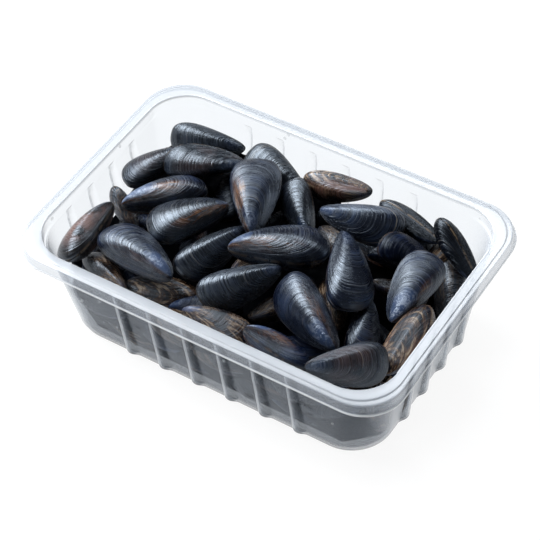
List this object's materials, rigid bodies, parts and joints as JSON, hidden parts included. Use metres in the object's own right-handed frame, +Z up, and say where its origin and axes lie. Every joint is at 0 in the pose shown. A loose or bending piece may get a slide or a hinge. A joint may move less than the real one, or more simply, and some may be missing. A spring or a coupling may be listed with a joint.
{
  "type": "tray of mussels",
  "caption": "Clear rectangular plastic tray with rounded corners, ribbed walls and a flat sealing rim, heaped with raw blue mussels shut in their shells.",
  "frame": {"origin": "middle of the tray's flat underside, on the surface it stands on", "axes": "+X along the tray's length, +Y across it from the long wall nearer the viewer to the far one, +Z up"},
  "size_m": [0.2676, 0.1826, 0.079],
  "materials": {
    "clear_plastic": "clear, slightly frosted thin plastic, with brighter edges and rim",
    "mussel_shell": "blue-black glossy shell with fine growth lines, brown patches and worn blue beaks",
    "mussel_bed_shell": "blue-black shells, darker between"
  },
  "bodies": {
    "root": {"mussel_01": "mussel_shell", "mussel_02": "mussel_shell", "mussel_03": "mussel_shell", "mussel_04": "mussel_shell", "mussel_05": "mussel_shell", "mussel_06": "mussel_shell", "mussel_07": "mussel_shell", "mussel_08": "mussel_shell", "mussel_09": "mussel_shell", "mussel_10": "mussel_shell", "mussel_11": "mussel_shell", "mussel_12": "mussel_shell", "mussel_13": "mussel_shell", "mussel_14": "mussel_shell", "mussel_15": "mussel_shell", "mussel_16": "mussel_shell", "mussel_17": "mussel_shell", "mussel_18": "mussel_shell", "mussel_19": "mussel_shell", "mussel_20": "mussel_shell", "mussel_21": "mussel_shell", "mussel_22": "mussel_shell", "mussel_23": "mussel_shell", "mussel_24": "mussel_shell", "mussel_25": "mussel_shell", "mussel_26": "mussel_shell", "mussel_27": "mussel_shell", "mussel_28": "mussel_shell", "mussel_29": "mussel_shell", "mussel_30": "mussel_shell", "mussel_31": "mussel_shell", "mussel_32": "mussel_shell", "mussel_33": "mussel_shell", "mussel_34": "mussel_shell", "mussel_bed": "mussel_bed_shell", "tray": "clear_plastic"}
  },
  "joints": []
}
